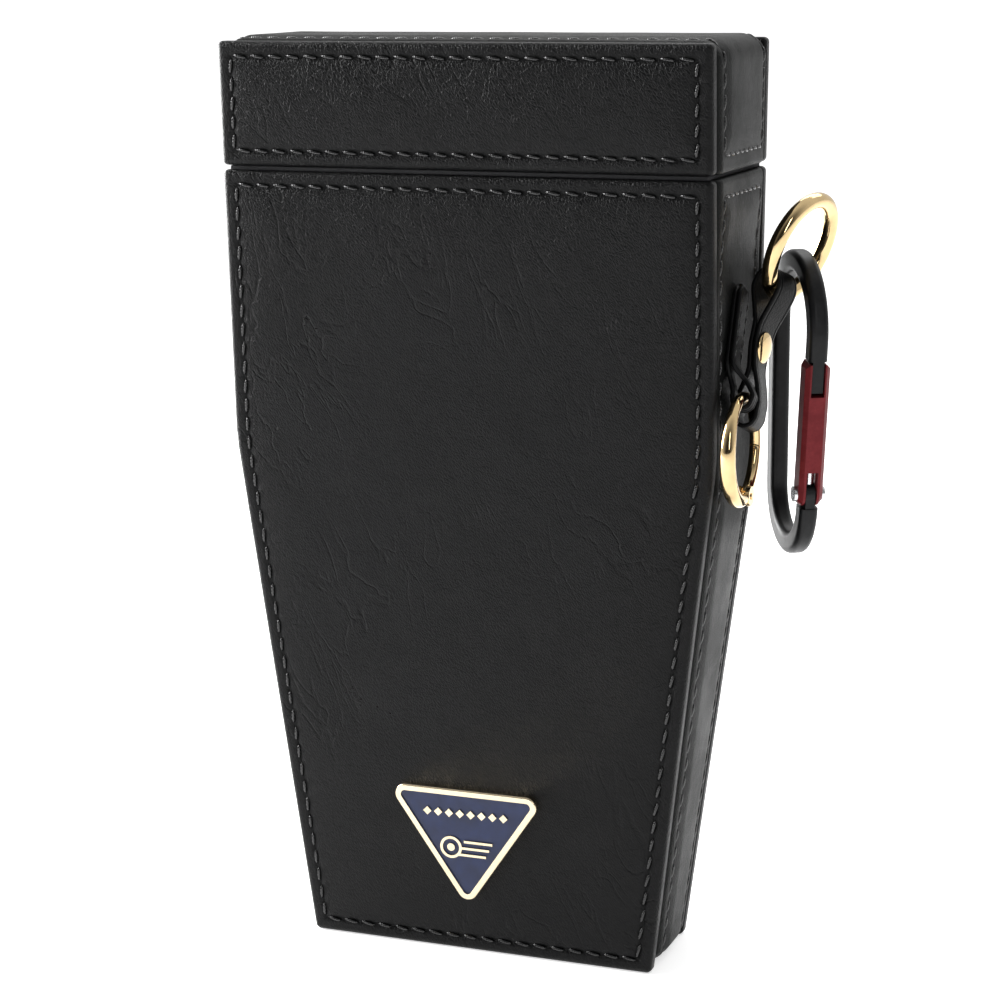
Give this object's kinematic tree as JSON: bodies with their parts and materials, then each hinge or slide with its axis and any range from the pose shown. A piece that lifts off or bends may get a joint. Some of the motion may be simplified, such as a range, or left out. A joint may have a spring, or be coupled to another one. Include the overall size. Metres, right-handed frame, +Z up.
{
  "type": "hinged hard case",
  "caption": "Slim tapered leather-covered hard case with a hinged lid, a dart rack inside, and a side strap with rings and a carabiner.",
  "frame": {"origin": "centre of the underside of the case, where it stands", "axes": "+Z up along the case's height, -Y towards the front face with the badge, +X towards the side with the strap"},
  "size_m": [0.1153, 0.0445, 0.18],
  "materials": {
    "leather": "semi-gloss black artificial leather with a fine grain",
    "strap_leather": "semi-gloss black leather with painted edges",
    "board": "stiff fibre board, hidden",
    "lining": "black short-pile lining",
    "rack": "moulded black plastic",
    "foam": "black closed-cell foam",
    "magnet": "nickel-plated discs",
    "gilt": "polished pale gold plating",
    "enamel": "navy enamel",
    "clip_black": "satin black anodised",
    "clip_red": "satin dark red anodised",
    "steel": "bright steel"
  },
  "bodies": {
    "case": {"front_leather": "leather", "front_board": "board", "back_leather": "leather", "back_board": "board", "band_leather": "leather", "bottom_board": "board", "left_board": "board", "right_board": "board", "body_lining": "lining", "neck_collar": "lining", "dart_rack": "rack", "tip_foam": "foam", "body_magnets": "magnet", "hinge_leaf_body": "leather", "badge_frame": "gilt", "badge_enamel": "enamel", "badge_motif": "gilt", "badge_studs": "gilt", "side_tab": "strap_leather"},
    "lid": {"lid_front_leather": "leather", "lid_front_board": "board", "lid_back_leather": "leather", "lid_back_board": "board", "lid_band_leather": "leather", "lid_frame_board": "board", "lid_lining": "lining", "lid_magnets": "magnet", "hinge_leaf_lid": "leather"},
    "lower_ring": {"lower_ring": "gilt", "lower_ring_pin": "gilt"},
    "ring_gate": {"lower_ring_gate": "gilt"},
    "strap": {"strap": "strap_leather", "strap_rivet": "gilt"},
    "upper_ring": {"upper_ring": "gilt"},
    "carabiner": {"carabiner_frame": "clip_black", "gate_pin": "steel"},
    "carabiner_gate": {"carabiner_gate": "clip_red", "gate_plunger": "steel", "gate_spring": "steel"}
  },
  "joints": [
    {"name": "lid_hinge", "type": "hinge", "parent": "case", "child": "lid", "pos_m": [0, 0.0197, 0.156], "axis": [-1, 0, 0], "range_deg": [0, 115]},
    {"name": "lower_ring_turn", "type": "hinge", "parent": "case", "child": "lower_ring", "pos_m": [0.0522, -0.00896, 0.1053], "axis": [-1, 0, 0], "range_deg": [0, 20]},
    {"name": "ring_gate_hinge", "type": "hinge", "parent": "lower_ring", "child": "ring_gate", "pos_m": [0.0522, -0.00696, 0.09591], "axis": [1, 0, 0], "range_deg": [0, 25], "stiffness_Nm_per_rad": 0.001, "springref_deg": -22.92},
    {"name": "strap_swing", "type": "hinge", "parent": "lower_ring", "child": "strap", "pos_m": [0.0522, -0.00279, 0.11265], "axis": [0, 0.9483, -0.3173], "range_deg": [-2, 5]},
    {"name": "upper_ring_swing", "type": "hinge", "parent": "strap", "child": "upper_ring", "pos_m": [0.05446, 0.00414, 0.13336], "axis": [-0.079, -0.8873, 0.4544], "range_deg": [-6, 15]},
    {"name": "carabiner_swing", "type": "hinge", "parent": "upper_ring", "child": "carabiner", "pos_m": [0.05677, 0.0126, 0.13311], "axis": [-0.3896, -0.8279, -0.4034], "range_deg": [-2, 28]},
    {"name": "carabiner_gate_hinge", "type": "hinge", "parent": "carabiner", "child": "carabiner_gate", "pos_m": [0.06168, 0.00446, 0.0948], "axis": [-0.8572, -0.515, 0], "range_deg": [0, 25], "stiffness_Nm_per_rad": 0.02, "springref_deg": -17.19}
  ]
}
